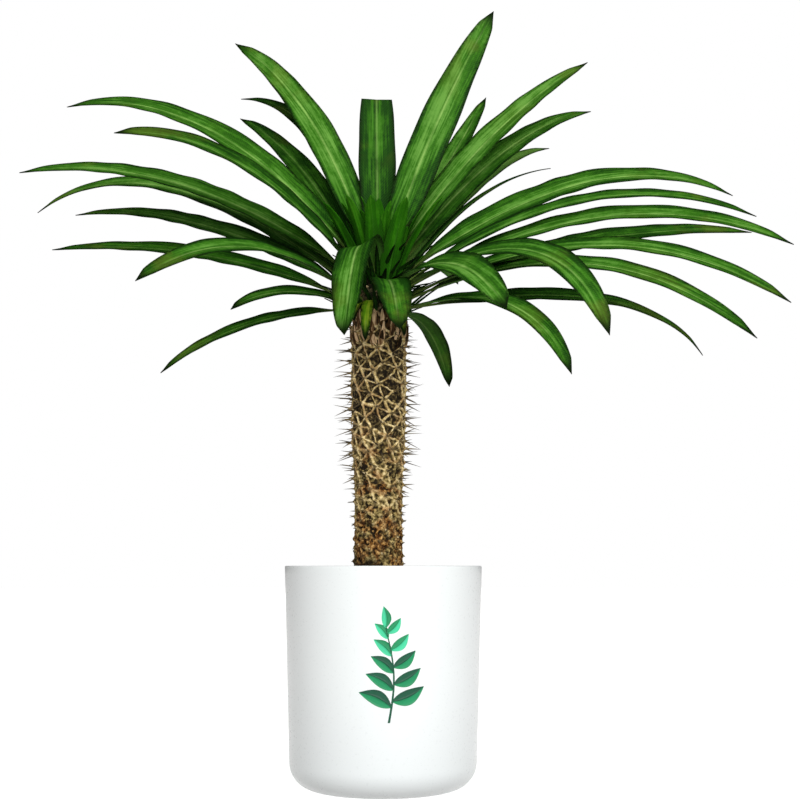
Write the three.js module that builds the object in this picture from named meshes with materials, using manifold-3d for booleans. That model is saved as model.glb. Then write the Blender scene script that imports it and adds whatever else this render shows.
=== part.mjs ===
// A Madagascar palm (Pachypodium lamerei) in a white planter: a spiny stem, a crown of long leaves, soil and pot.
// Millimetres, +Z up. The origin is the centre of the pot's underside, and -Y is the plant's front.
import * as THREE from "three";
import { mergeVertices } from "three/addons/utils/BufferGeometryUtils.js";
import Module from "manifold-3d";

const wasm = await Module();
wasm.setup();

// ---- Driving dimensions ----

const GAP = 0.3; // clearance kept between neighbouring solids

const POT_HEIGHT = 215;
const POT_RIM_RADIUS = 97.5;
const POT_FOOT_RADIUS = 91; // where the wall would meet the ground if its edge weren't rounded
const POT_EDGE_ROUND = 26; // radius of the rounded bottom edge
const POT_WALL = 6;
const POT_FLOOR = 8;
const POT_SIDES = 48; // and the soil's
const DRAIN_HOLE_RADIUS = 5;
const DRAIN_CIRCLE_RADIUS = 38;
const DRAIN_HOLES = 4;

const SOIL_TOP = 193;
const SOIL_CRUMB = 2.2; // height of the soil's lumps,
const SOIL_SUNK = 1.5; // whose middle height lies this far under the top

const STEM_X = -5; // the stem stands a little left of the pot's axis
const STEM_FOOT = 118; // the buried end
const STEM_FOOT_RADIUS = 20;
const HOLE_SIDES = 24;
// [height, radius over the tubercles]
const STEM_PROFILE = [
  [195, 24.8],
  [225, 23.8],
  [290, 23],
  [335, 26.2],
  [400, 27.5],
  [450, 27],
  [470, 25],
  [495, 19.5],
  [515, 13],
  [528, 6.5],
  [533, 0],
];

const GOLDEN_ANGLE = Math.PI * (3 - Math.sqrt(5));
const TUBERCLE_LOW = 202;
const TUBERCLE_PITCH = 1.06; // rise from one tubercle to the next along the one spiral
const TUBERCLE_COUNT = 236;
const TUBERCLE_RISE = 1.4; // an areole stands this far over the stem's radius
const VALLEY_DEPTH = 2.6; // and the skin between tubercles lies this far under it
const AREOLE_SHARE = 0.3; // an areole's size as a share of its cell
const AREOLE_RISE = 0.8; // its middle stands this far over its corners
const SPINE_LENGTH = 19;
const SPINE_STUB = 2.8; // worn spines near the soil
const WORN_BELOW = 240; // heights between which worn spines give way to whole ones
const WHOLE_ABOVE = 335;
const YOUNG_ABOVE = 440; // the newest spines, just under the leaves, are still short,
const YOUNG_SHARE = 0.4; // by this share of the whole length
const SPINE_LEAN = THREE.MathUtils.degToRad(42); // between a spine and straight out
const SPINE_TWIST = 0.5; // radians over which a spine's heading scatters
const SPINE_CLEARANCE = 0.9; // between the middle lines of two areoles' spines
const DOME_FOOT = 450;
const DOME_SIDES = 24;

const LEAF_STATIONS = 12;
const SEAT_DEPTH = 3; // a leaf's path starts this far inside the dome, which then cuts it to its seat
const PETIOLE_WIDTH = 5.5;
const LOW_PETIOLE = [464, 0.15]; // the lowest leaves' seat height, and their stalks' share of their length
const HIGH_PETIOLE = [496, 0.07]; // the share goes down to this by this seat height
const BLADE_SKEW = 0.85; // under 1, a blade is widest before its middle
const BLADE_FULLNESS = 0.5; // the lower it is, the fuller are a blade's two ends
const RIB_THICKNESS = 3.2;
const RIB_ABOVE = 0.25; // the share of the rib's thickness that lies over the blade's middle line
const EDGE_THICKNESS = 0.9;
const LEAF_FOLD = 10; // degrees that each half of the blade is lifted from flat
const ROLLED_BY = 0.25; // share of the length where a leaf has its whole roll

// A leaf arches from its seat towards its knee, which it passes under, and on to its tip. Each row holds
// its heading in plan (degrees from +X towards +Y), its seat's height, the knee's reach from the stem's axis and
// height, the tip's reach and height, the blade's width, and its roll about the rib (degrees).
const LEAVES = [
  // left side, from the top down
  [150, 521, 74, 716, 186, 789, 34, -45],
  [143, 514, 70, 713, 196, 734, 24, -30],
  [135, 506, 120, 671, 230, 726, 28, -30],
  [177, 509, 172, 722, 327, 691, 40, -40],
  [207, 500, 150, 647, 277, 618, 37, -42],
  [182, 500, 196, 641, 366, 612, 38, -36],
  [170, 491, 247, 678, 372, 590, 34, -36],
  [163, 487, 197, 604, 350, 597, 34, -32],
  [172, 480, 180, 556, 349, 546, 33, -32],
  [219, 480, 164, 556, 276, 467, 33, -32],
  [205, 474, 105, 499, 157, 461, 25, -30],
  [190, 473, 146, 468, 217, 403, 24, -30],
  // front
  [252, 500, 68, 581, 101, 431, 42, 16],
  [278, 484, 90, 512, 151, 428, 35, 0],
  // upright middle
  [97, 524, 20, 615, 26, 702, 37, 0],
  [4, 522, 47, 660, 120, 792, 38, 96],
  [65, 516, 176, 665, 303, 790, 25, 20],
  // right side, from the top down
  [24, 516, 114, 680, 252, 771, 38, 30],
  [35, 508, 158, 695, 296, 737, 34, 32],
  [47, 502, 172, 677, 291, 706, 22, 30],
  [28, 493, 111, 626, 212, 649, 13, 8],
  [6, 502, 228, 668, 374, 602, 42, 38],
  [348, 492, 212, 628, 374, 550, 27, 35],
  [345, 488, 238, 606, 407, 516, 38, 35],
  [10, 480, 225, 579, 405, 570, 30, 42],
  [336, 480, 246, 571, 407, 449, 37, 30],
  [328, 476, 246, 546, 389, 410, 31, 30],
  [14, 474, 291, 532, 357, 439, 26, 38],
  [318, 486, 224, 562, 277, 416, 37, 32],
  [299, 490, 152, 526, 235, 436, 41, 28],
  [311, 466, 208, 489, 260, 380, 28, 22],
  [60, 472, 114, 498, 152, 411, 28, 10],
  // back
  [84, 505, 140, 640, 290, 600, 34, 0],
  [116, 500, 130, 640, 248, 655, 32, 0],
  [128, 476, 128, 583, 234, 579, 30, 0],
  [100, 478, 150, 590, 300, 560, 32, 0],
  [72, 476, 150, 590, 300, 557, 30, 0],
];
const CUT_LEAF = 14; // this leaf was cut straight across,
const CUT_SHARE = 0.72; // at this share of its length

// Small leaves that hang in front of the stem's shoulder, in the same terms.
const YOUNG_LEAVES = [
  [253, 476, 40, 486, 43, 435, 10, 0],
  [233, 474, 36, 482, 40, 456, 6, 0],
  [308, 462, 38, 467, 42, 441, 8, 0],
];

// ---- Shared helpers ----

const rad = THREE.MathUtils.degToRad;
const UP = new THREE.Vector3(0, 0, 1);

// A repeatable number from 0 to 1 for each whole number.
function scatter(n) {
  const v = Math.sin(n * 12.9898) * 43758.5453;
  return v - Math.floor(v);
}

function stemRadius(z) {
  const last = STEM_PROFILE.length - 1;
  if (z <= STEM_PROFILE[0][0]) return STEM_PROFILE[0][1];
  if (z >= STEM_PROFILE[last][0]) return STEM_PROFILE[last][1];
  const i = STEM_PROFILE.findIndex(([height]) => height > z) - 1;
  const [z0, r0] = STEM_PROFILE[i];
  const [z1, r1] = STEM_PROFILE[i + 1];
  return THREE.MathUtils.lerp(r0, r1, (z - z0) / (z1 - z0));
}

// A closed three.js geometry as a solid that can be joined and cut.
function solidOf(geometry) {
  const bare = geometry.index ? geometry.toNonIndexed() : geometry;
  bare.deleteAttribute("normal");
  bare.deleteAttribute("uv");
  const merged = mergeVertices(bare, 1e-4);
  return new wasm.Manifold(
    new wasm.Mesh({
      numProp: 3,
      vertProperties: merged.attributes.position.array,
      triVerts: new Uint32Array(merged.index.array),
    }),
  );
}

function geometryOf(solid) {
  const { numProp, vertProperties, triVerts } = solid.getMesh();
  const position = new Float32Array((vertProperties.length / numProp) * 3);
  for (let i = 0; i < position.length / 3; i++) {
    position.set(vertProperties.subarray(i * numProp, i * numProp + 3), i * 3);
  }
  return new THREE.BufferGeometry()
    .setAttribute("position", new THREE.BufferAttribute(position, 3))
    .setIndex(new THREE.BufferAttribute(triVerts, 1));
}

// Triangles that name their corners by index, as a geometry.
function geometryFrom(points, triangles) {
  return new THREE.BufferGeometry()
    .setFromPoints(points)
    .setIndex(triangles.flat());
}

// A profile of [radius, height] pairs turned about the vertical line through x. It runs up the outside.
function turned(profile, sides, x = 0) {
  const points = profile.map(([r, z]) => new THREE.Vector2(r, z));
  return new THREE.LatheGeometry(points, sides)
    .rotateX(Math.PI / 2)
    .translate(x, 0, 0);
}

// Points of an arc in a profile, by its centre, radius and two angles in degrees.
function arc(r, z, radius, from, to, steps) {
  return Array.from({ length: steps + 1 }, (_, i) => {
    const a = rad(THREE.MathUtils.lerp(from, to, i / steps));
    return [r + radius * Math.cos(a), z + radius * Math.sin(a)];
  });
}

const group = new THREE.Group();

function add(name, geometry, look) {
  geometry.computeVertexNormals();
  const mesh = new THREE.Mesh(geometry, new THREE.MeshStandardMaterial(look));
  mesh.name = name;
  group.add(mesh);
}

// ---- Pot ----

function wallRadius(z) {
  return THREE.MathUtils.lerp(POT_FOOT_RADIUS, POT_RIM_RADIUS, z / POT_HEIGHT);
}

function innerRadius(z) {
  return wallRadius(z) - POT_WALL;
}

const INNER_ROUND = POT_EDGE_ROUND - POT_WALL;

function potSolid() {
  const rim = 1.6; // rounding of the rim's two edges
  const edgeCentre = wallRadius(POT_EDGE_ROUND) - POT_EDGE_ROUND;
  const floorCentre = POT_FLOOR + INNER_ROUND;
  const profile = [
    [0, 0],
    ...arc(edgeCentre, POT_EDGE_ROUND, POT_EDGE_ROUND, -90, 0, 6),
    ...arc(wallRadius(POT_HEIGHT) - rim, POT_HEIGHT - rim, rim, 0, 90, 2),
    ...arc(innerRadius(POT_HEIGHT) + rim, POT_HEIGHT - rim, rim, 90, 180, 2),
    ...arc(innerRadius(floorCentre) - INNER_ROUND, floorCentre, INNER_ROUND, 0, -90, 3),
    [0, POT_FLOOR],
  ];
  let pot = solidOf(turned(profile, POT_SIDES));
  for (let i = 0; i < DRAIN_HOLES; i++) {
    const turn = (i / DRAIN_HOLES) * 2 * Math.PI;
    const drill = new THREE.CylinderGeometry(DRAIN_HOLE_RADIUS, DRAIN_HOLE_RADIUS, 4 * POT_FLOOR, 12)
      .rotateX(Math.PI / 2)
      .translate(DRAIN_CIRCLE_RADIUS * Math.cos(turn), DRAIN_CIRCLE_RADIUS * Math.sin(turn), 0);
    pot = pot.subtract(solidOf(drill));
  }
  return pot;
}

// ---- Soil, with a plain hole that the stem stands in ----

function soilSolid() {
  const floor = POT_FLOOR + GAP;
  const side = (z) => innerRadius(z) - GAP;
  const bottom = floor + INNER_ROUND;
  const collar = STEM_FOOT_RADIUS + 8; // the top is level inside this radius
  const lumps = [0.96, 0.79, 0.62, 0.45].map((share) => [share * side(SOIL_TOP), SOIL_TOP]);
  const profile = [
    [0, floor],
    ...arc(side(bottom) - INNER_ROUND, bottom, INNER_ROUND, -90, 0, 3),
    [side(SOIL_TOP), SOIL_TOP],
    ...lumps,
    [collar, SOIL_TOP],
    [0, SOIL_TOP],
  ];
  const geometry = turned(profile, POT_SIDES);
  const position = geometry.attributes.position;
  for (let i = 0; i < position.count; i++) {
    const [x, y, z] = [position.getX(i), position.getY(i), position.getZ(i)];
    if (z < SOIL_TOP - 1e-3 || Math.hypot(x, y) < collar + 1) continue;
    position.setZ(i, SOIL_TOP - SOIL_SUNK + SOIL_CRUMB * soilLump(x, y));
  }
  const hole = turned(
    [
      ...footProfile(GAP),
      [STEM_FOOT_RADIUS + GAP, SOIL_TOP + 10],
      [0, SOIL_TOP + 10],
    ],
    HOLE_SIDES,
    STEM_X,
  );
  return solidOf(geometry).subtract(solidOf(hole));
}

// From -1 to 1, in lumps about 15 mm across.
function soilLump(x, y) {
  return Math.sin(x / 5.1 + y / 9.7) * Math.sin(y / 4.3 - x / 11.3);
}

// The buried end of the stem, larger by the lift.
function footProfile(lift) {
  return [
    [0, STEM_FOOT - lift],
    [STEM_FOOT_RADIUS * 0.6 + lift, STEM_FOOT - lift],
    [STEM_FOOT_RADIUS + lift, STEM_FOOT + 12],
  ];
}

// ---- Stem: a spiral lattice of tubercles, each with a triple of spines ----

// The stem's skin by turn and height, lifted outwards.
function skinPoint(angle, z, lift) {
  const r = stemRadius(z) + lift;
  return new THREE.Vector3(STEM_X + r * Math.cos(angle), r * Math.sin(angle), z);
}

// The six neighbours of a tubercle along the one spiral, in order round it.
const NEIGHBOURS = [8, 13, 5, -8, -13, -5];

// What a step along the spiral turns by, to the nearest side, in radians.
function turnOf(step) {
  const turn = step * GOLDEN_ANGLE;
  return turn - 2 * Math.PI * Math.round(turn / (2 * Math.PI));
}

function spineLength(z) {
  const { lerp, smoothstep } = THREE.MathUtils;
  const whole = SPINE_LENGTH * lerp(1, YOUNG_SHARE, smoothstep(z, YOUNG_ABOVE - 8, YOUNG_ABOVE + 8));
  return lerp(SPINE_STUB, whole, smoothstep(z, WORN_BELOW, WHOLE_ABOVE));
}

function trunkSolid() {
  const points = [];
  const triangles = [];
  const put = (point) => points.push(point) - 1;
  const angleOf = (k) => k * GOLDEN_ANGLE;
  const heightOf = (k) => TUBERCLE_LOW + k * TUBERCLE_PITCH;

  // Corner i of an areole leans towards the middle of neighbours i and i + 1.
  const rings = Array.from({ length: TUBERCLE_COUNT }, (_, k) =>
    NEIGHBOURS.map((step, i) => {
      const next = NEIGHBOURS[(i + 1) % 6];
      const turn = ((turnOf(step) + turnOf(next)) / 3) * AREOLE_SHARE;
      const rise = ((step + next) / 3) * TUBERCLE_PITCH * AREOLE_SHARE;
      return put(skinPoint(angleOf(k) + turn, heightOf(k) + rise, TUBERCLE_RISE));
    }),
  );

  // Three spines leave each areole, each on a third of its six sides.
  // One that would cross another is made shorter.
  const spines = [];
  rings.forEach((ring, k) => {
    const angle = angleOf(k);
    const outward = new THREE.Vector3(Math.cos(angle), Math.sin(angle), 0);
    const middle = put(skinPoint(angle, heightOf(k), TUBERCLE_RISE + AREOLE_RISE));
    const others = spines.slice();
    for (const corner of [1, 3, 5]) {
      const [before, here, after] = [corner - 1, corner, (corner + 1) % 6].map((i) => ring[i]);
      const sideways = points[here]
        .clone()
        .sub(points[middle])
        .projectOnPlane(outward)
        .normalize()
        .applyAxisAngle(outward, SPINE_TWIST * (scatter(5 * k + corner) - 0.5));
      const reach = outward
        .clone()
        .multiplyScalar(Math.cos(SPINE_LEAN))
        .addScaledVector(sideways, Math.sin(SPINE_LEAN))
        .multiplyScalar(spineLength(heightOf(k)) * (0.8 + 0.35 * scatter(3 * k + corner)));
      const spine = new THREE.Line3(points[middle], points[middle].clone().add(reach));
      while (others.some((other) => spine.distanceSqToLine3(other) < SPINE_CLEARANCE ** 2)) {
        spine.end.lerp(spine.start, 0.15);
      }
      spines.push(spine);
      const top = put(spine.end);
      triangles.push([middle, before, top], [before, here, top], [here, after, top], [after, middle, top]);
    }
  });

  // Between the areoles: a strip along each side of the lattice, and a pit in each of its triangles.
  const strip = (a, b, c, d) => triangles.push([a, b, c], [a, c, d]);
  const pit = (a, b, c) => {
    const low = points[a].clone().add(points[b]).add(points[c]).divideScalar(3);
    const shrink = 1 - VALLEY_DEPTH / Math.hypot(low.x - STEM_X, low.y);
    low.x = STEM_X + (low.x - STEM_X) * shrink;
    low.y *= shrink;
    const bottom = put(low);
    triangles.push([a, b, bottom], [b, c, bottom], [c, a, bottom]);
  };
  rings.forEach((own, k) => {
    const [east, north, west] = [8, 13, 5].map((step) => rings[k + step]);
    if (west) strip(own[1], west[5], west[4], own[2]);
    if (east) strip(own[5], east[3], east[2], own[0]);
    if (!north) return;
    strip(own[0], north[4], north[3], own[1]);
    pit(own[0], east[2], north[4]);
    pit(own[1], north[3], west[5]);
  });
  capEnds(points, triangles);
  return solidOf(geometryFrom(points, triangles));
}

// Closes the ragged loop at each end with a fan from the stem's axis.
function capEnds(points, triangles) {
  const used = new Set(triangles.flatMap(([a, b, c]) => [a + "," + b, b + "," + c, c + "," + a]));
  const after = new Map();
  for (const edge of used) {
    const [a, b] = edge.split(",").map(Number);
    if (!used.has(b + "," + a)) after.set(b, a);
  }
  while (after.size) {
    const loop = [after.keys().next().value];
    while (after.has(loop.at(-1))) {
      const here = loop.at(-1);
      loop.push(after.get(here));
      after.delete(here);
    }
    const z = loop.reduce((sum, i) => sum + points[i].z, 0) / loop.length;
    const middle = points.push(new THREE.Vector3(STEM_X, 0, z)) - 1;
    for (let i = 1; i < loop.length; i++) triangles.push([loop[i - 1], loop[i], middle]);
  }
}

// The smooth body inside the tubercles: the buried foot, a core, and the dome that the leaves grow from.
function coreProfile(lift) {
  const dome = STEM_PROFILE.filter(([z]) => z >= DOME_FOOT).map(([z, r]) => [r && r + lift, z + lift]);
  return [...footProfile(lift), [STEM_FOOT_RADIUS + lift, DOME_FOOT - 8], ...dome];
}

function stemSolid() {
  return trunkSolid().add(solidOf(turned(coreProfile(0), DOME_SIDES, STEM_X)));
}

// ---- Leaves ----

// The middle line of a leaf, from inside the dome to its tip.
function leafCurve([heading, seat, kneeReach, kneeHeight, tipReach, tipHeight]) {
  const place = (reach, height) =>
    new THREE.Vector3(reach, 0, height)
      .applyAxisAngle(UP, rad(heading))
      .add(new THREE.Vector3(STEM_X, 0, 0));
  return new THREE.QuadraticBezierCurve3(
    place(Math.max(stemRadius(seat) - SEAT_DEPTH, 0), seat),
    place(kneeReach, kneeHeight),
    place(tipReach, tipHeight),
  );
}

// The share of a leaf's length before its blade starts to widen. The lower it sits, the longer is its stalk.
function petioleShare(seat) {
  const [low, high] = [LOW_PETIOLE, HIGH_PETIOLE];
  const up = THREE.MathUtils.clamp((seat - low[0]) / (high[0] - low[0]), 0, 1);
  return THREE.MathUtils.lerp(low[1], high[1], up);
}

// Half the width at a share of the length: a narrow stalk, then a lance-shaped blade.
function halfWidth(share, width, petiole) {
  const blade = Math.max(0, (share - petiole) / (1 - petiole));
  const stalk = (Math.min(PETIOLE_WIDTH, width) / 2) * (1 - blade) ** 2;
  return stalk + (width / 2) * Math.max(0, Math.sin(Math.PI * blade ** BLADE_SKEW)) ** BLADE_FULLNESS;
}

// The section at each station along a leaf: where its middle is, the way across and up, its size.
function leafStations(row, cut) {
  const curve = leafCurve(row);
  const [heading, width, roll] = [row[0], row[6], row[7]];
  const petiole = petioleShare(row[1]);
  return Array.from({ length: LEAF_STATIONS + 1 }, (_, i) => {
    const share = i / LEAF_STATIONS;
    const along = curve.getTangentAt(share);
    const side = new THREE.Vector3(0, 1, 0)
      .applyAxisAngle(UP, rad(heading))
      .applyAxisAngle(along, rad(roll) * THREE.MathUtils.smoothstep(share, 0, ROLLED_BY));
    return {
      middle: curve.getPointAt(share),
      side,
      up: along.clone().cross(side),
      half: halfWidth(cut ? share * CUT_SHARE : share, width, petiole),
      rib: THREE.MathUtils.lerp(RIB_THICKNESS, EDGE_THICKNESS, Math.sqrt(share)),
    };
  });
}

// A section through the blade, as [across, over] pairs: a low V, thickest at the rib.
function bladeSection(half, rib) {
  const folded = rad(LEAF_FOLD) * Math.min(1, half / PETIOLE_WIDTH);
  const [out, lift] = [half * Math.cos(folded), half * Math.sin(folded)];
  const edge = EDGE_THICKNESS / 2;
  return [
    [out, lift + edge],
    [0, RIB_ABOVE * rib],
    [-out, lift + edge],
    [-out, lift - edge],
    [0, (RIB_ABOVE - 1) * rib],
    [out, lift - edge],
  ];
}

function leafGeometry(row, cut) {
  const stations = leafStations(row, cut);
  const tip = cut ? null : stations.pop().middle;
  const points = stations.flatMap(({ middle, side, up, half, rib }) =>
    bladeSection(half, rib).map(([across, over]) =>
      middle.clone().addScaledVector(side, across).addScaledVector(up, over),
    ),
  );
  const triangles = [];
  const at = (i, j) => 6 * i + (j % 6);
  const last = stations.length - 1;
  for (let i = 0; i < last; i++) {
    for (let j = 0; j < 6; j++) {
      const [a, b, c, d] = [at(i, j), at(i, j + 1), at(i + 1, j + 1), at(i + 1, j)];
      // Both faces are split along the same diagonal, so that they stay a blade's thickness apart.
      if (j < 3) triangles.push([a, b, c], [a, c, d]);
      else triangles.push([a, b, d], [b, c, d]);
    }
  }
  for (const j of [2, 3, 4, 5]) {
    triangles.push([at(0, 1), at(0, j + 1), at(0, j)]);
    if (cut) triangles.push([at(last, 1), at(last, j), at(last, j + 1)]);
  }
  if (tip) {
    const top = points.push(tip) - 1;
    for (let j = 0; j < 6; j++) triangles.push([at(last, j), at(last, j + 1), top]);
  }
  return geometryFrom(points, triangles);
}

// ---- Assembly ----

add("pot", geometryOf(potSolid()), { color: 0xf4f5f5, roughness: 0.35, metalness: 0 });
add("soil", geometryOf(soilSolid()), { color: 0x3a2a1e, roughness: 1, metalness: 0 });
add("stem", geometryOf(stemSolid()), { color: 0x8a7653, roughness: 0.9, metalness: 0 });

const clearOfDome = solidOf(turned(coreProfile(GAP), DOME_SIDES, STEM_X));
const addLeaf = (name, row, cut, color) => {
  const leaf = solidOf(leafGeometry(row, cut)).subtract(clearOfDome);
  add(name, geometryOf(leaf), { color, roughness: 0.5, metalness: 0 });
};
LEAVES.forEach((row, i) => {
  addLeaf("leaf_" + String(i + 1).padStart(2, "0"), row, i === CUT_LEAF, 0x2f6b1e);
});
YOUNG_LEAVES.forEach((row, i) => addLeaf("young_leaf_" + (i + 1), row, false, 0x6f9a2a));

export default group;
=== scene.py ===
"""The looks of a potted Madagascar palm (Pachypodium lamerei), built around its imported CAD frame.

Shapes are worked out in millimetres and become metres when a piece is made. The part's frame is +Z up
with -Y in front, and its origin is the centre of the pot's underside.
"""

import math

import bmesh
import bpy
import numpy as np
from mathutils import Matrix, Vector, noise


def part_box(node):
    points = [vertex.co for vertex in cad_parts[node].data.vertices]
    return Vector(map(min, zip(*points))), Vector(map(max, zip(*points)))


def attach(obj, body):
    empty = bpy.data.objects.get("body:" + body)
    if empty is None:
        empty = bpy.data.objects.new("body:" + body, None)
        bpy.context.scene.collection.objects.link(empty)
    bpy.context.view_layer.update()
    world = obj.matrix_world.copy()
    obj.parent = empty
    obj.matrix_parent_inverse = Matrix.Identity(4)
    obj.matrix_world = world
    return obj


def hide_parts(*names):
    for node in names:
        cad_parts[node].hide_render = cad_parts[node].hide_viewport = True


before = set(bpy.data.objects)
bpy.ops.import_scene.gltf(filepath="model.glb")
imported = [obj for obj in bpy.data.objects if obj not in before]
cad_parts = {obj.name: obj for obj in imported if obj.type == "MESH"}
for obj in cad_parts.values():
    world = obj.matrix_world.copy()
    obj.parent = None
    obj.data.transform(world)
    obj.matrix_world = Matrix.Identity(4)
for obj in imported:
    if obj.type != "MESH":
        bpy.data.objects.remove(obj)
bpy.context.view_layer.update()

MM = 0.001

# ---- Sizes that the frame gives ----


def node_box(node):
    """A CAD node's lowest and highest corners, in millimetres."""
    low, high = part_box(node)
    return np.array(low) / MM, np.array(high) / MM


POT_HEIGHT = node_box("pot")[1][2]
POT_RIM_RADIUS = node_box("pot")[1][0]
SOIL_FLOOR, SOIL_TOP = node_box("soil")[0][2], node_box("soil")[1][2]
STEM_FOOT, STEM_TOP = node_box("stem")[0][2], node_box("stem")[1][2]

# ---- Driving dimensions, the same as the part's ----

POT_FOOT_RADIUS = 91
POT_EDGE_ROUND = 26
POT_WALL = 6
POT_FLOOR = 8
POT_RIM_ROUND = 1.6
DRAIN_HOLE_RADIUS = 5
DRAIN_CIRCLE_RADIUS = 38
DRAIN_HOLES = 4
GAP = 0.3

STEM_X = -5
STEM_FOOT_RADIUS = 20
STEM_PROFILE = [
    (195, 24.8), (225, 23.8), (290, 23), (335, 26.2), (400, 27.5), (450, 27),
    (470, 25), (495, 19.5), (515, 13), (528, 6.5), (533, 0),
]  # fmt: skip
GOLDEN_ANGLE = math.pi * (3 - math.sqrt(5))
TUBERCLE_LOW = 202
TUBERCLE_PITCH = 1.06
TUBERCLE_COUNT = 236
TUBERCLE_RISE = 1.4
NEIGHBOURS = (8, 13, 5, -8, -13, -5)
AREOLE_SHARE = 0.3
AREOLE_RISE = 0.8
SPINE_LENGTH = 19
SPINE_STUB = 2.8
WORN_BELOW, WHOLE_ABOVE = 240, 335
YOUNG_ABOVE, YOUNG_SHARE = 440, 0.4
SPINE_TWIST = 0.5  # the span of a spine's random turn about its areole, in radians
DOME_FOOT = 450

SEAT_DEPTH = 3
PETIOLE_WIDTH = 5.5
# A stalk's share of its leaf's length goes down from the lowest seats to these ones, and then stays.
LOW_SEAT, LOW_PETIOLE = 464, 0.15
HIGH_SEAT, HIGH_PETIOLE = 496, 0.07
BLADE_SKEW = 0.85
BLADE_FULLNESS = 0.5
RIB_THICKNESS = 3.2
EDGE_THICKNESS = 0.9
LEAF_FOLD = math.radians(10)
ROLLED_BY = 0.25
TIP_SLOPE = 6.3  # how fast a blade narrows to its point, as a share of its half width over its length

# Each leaf's heading, seat height, knee reach and height, tip reach and height, width, roll, and tone:
# 1 is the crown's usual green, lower is darker and higher is lighter. A low tone is partly the leaf's own
# green and partly painted shade, and a high one is partly painted light.
LEAVES = [
    # left side, from the top down
    (150, 521, 74, 716, 186, 789, 34, -45, 1.07),
    (143, 514, 70, 713, 196, 734, 24, -30, 0.6),
    (135, 506, 120, 671, 230, 726, 28, -30, 0.75),
    (177, 509, 172, 722, 327, 691, 40, -40, 0.95),
    (207, 500, 150, 647, 277, 618, 37, -42, 0.75),
    (182, 500, 196, 641, 366, 612, 38, -36, 1.08),
    (170, 491, 247, 678, 372, 590, 34, -36, 1.1),
    (163, 487, 197, 604, 350, 597, 34, -32, 0.95),
    (172, 480, 180, 556, 349, 546, 33, -32, 0.7),
    (219, 480, 164, 556, 276, 467, 33, -32, 0.87),
    (205, 474, 105, 499, 157, 461, 25, -30, 0.9),
    (190, 473, 146, 468, 217, 403, 24, -30, 0.75),
    # front
    (252, 500, 68, 581, 101, 431, 42, 16, 1.1),
    (278, 484, 90, 512, 151, 428, 35, 0, 0.82),
    # upright middle
    (97, 524, 20, 615, 26, 702, 37, 0, 0.64),
    (4, 522, 47, 660, 120, 792, 38, 96, 1.03),
    (65, 516, 176, 665, 303, 790, 25, 20, 0.95),
    # right side, from the top down
    (24, 516, 114, 680, 252, 771, 38, 30, 1.15),
    (35, 508, 158, 695, 296, 737, 34, 32, 1.0),
    (47, 502, 172, 677, 291, 706, 22, 30, 2.1),
    (28, 493, 111, 626, 212, 649, 13, 8, 0.05),
    (6, 502, 228, 668, 374, 602, 42, 38, 0.95),
    (348, 492, 212, 628, 374, 550, 27, 35, 0.74),
    (345, 488, 238, 606, 407, 516, 38, 35, 0.97),
    (10, 480, 225, 579, 405, 570, 30, 42, 0.7),
    (336, 480, 246, 571, 407, 449, 37, 30, 0.97),
    (328, 476, 246, 546, 389, 410, 31, 30, 0.93),
    (14, 474, 291, 532, 357, 439, 26, 38, 0.62),
    (318, 486, 224, 562, 277, 416, 37, 32, 0.84),
    (299, 490, 152, 526, 235, 436, 41, 28, 1.0),
    (311, 466, 208, 489, 260, 380, 28, 22, 0.88),
    (60, 472, 114, 498, 152, 411, 28, 10, 0.8),
    # back
    (84, 505, 140, 640, 290, 600, 34, 0, 1.0),
    (116, 500, 130, 640, 248, 655, 32, 0, 0.9),
    (128, 476, 128, 583, 234, 579, 30, 0, 0.8),
    (100, 478, 150, 590, 300, 560, 32, 0, 1.05),
    (72, 476, 150, 590, 300, 557, 30, 0, 0.9),
]
CUT_LEAF, CUT_SHARE = 14, 0.72
YOUNG_LEAVES = [
    (253, 476, 40, 486, 43, 435, 10, 0, 1.5),
    (233, 474, 36, 482, 40, 456, 6, 0, 2.6),
    (308, 462, 38, 467, 42, 441, 8, 0, 1.9),
]

# ---- Numbers that several pieces share ----


def smoothstep(x, low, high):
    t = np.clip((np.asarray(x, float) - low) / (high - low), 0, 1)
    return t * t * (3 - 2 * t)


def lerp(a, b, t):
    return a + (b - a) * t


def scatter(n):
    """A repeatable number from 0 to 1 for each whole number."""
    v = np.sin(np.asarray(n, float) * 12.9898) * 43758.5453
    return v - np.floor(v)


def stem_radius(z):
    heights, radii = zip(*STEM_PROFILE)
    return np.interp(z, heights, radii)


def wall_radius(z):
    return lerp(POT_FOOT_RADIUS, POT_RIM_RADIUS, z / POT_HEIGHT)


def arc(r, z, radius, start, end, steps):
    """Points of an arc in a profile, by its centre, radius and two angles in degrees."""
    turn = np.radians(np.linspace(start, end, steps + 1))
    return [(r + radius * math.cos(a), z + radius * math.sin(a)) for a in turn]


def field(points, scale, seed=0.0):
    """Smooth noise from about -1 to 1 at each point, in lumps as wide as the scale, in millimetres."""
    return np.array([noise.noise(Vector((x, y, z + seed)) / scale) for x, y, z in points])


# ---- Meshes ----


def grid_faces(rows, columns, wrap=True, first=0):
    """Quads of a grid of rows of points, whose rows close on themselves if wrap is true."""
    row = np.arange(rows - 1)[:, None] * columns
    here = np.arange(columns if wrap else columns - 1)[None]
    there = (here + 1) % columns
    quads = np.stack([row + here, row + there, row + columns + there, row + columns + here], -1)
    return (quads.reshape(-1, 4) + first).tolist()


def fan(middle, ring):
    return [[middle, a, b] for a, b in zip(ring, ring[1:] + ring[:1])]


def capped_tube(rows, columns):
    """Faces of a tube of rings of points, whose ends close on the two points after its last ring."""
    count = rows * columns
    faces = grid_faces(rows, columns)
    faces += fan(count, list(range(columns))[::-1])
    faces += fan(count + 1, list(range(count - columns, count)))
    return faces


def even_turns(count):
    return np.linspace(0, 2 * math.pi, count, endpoint=False)


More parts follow.
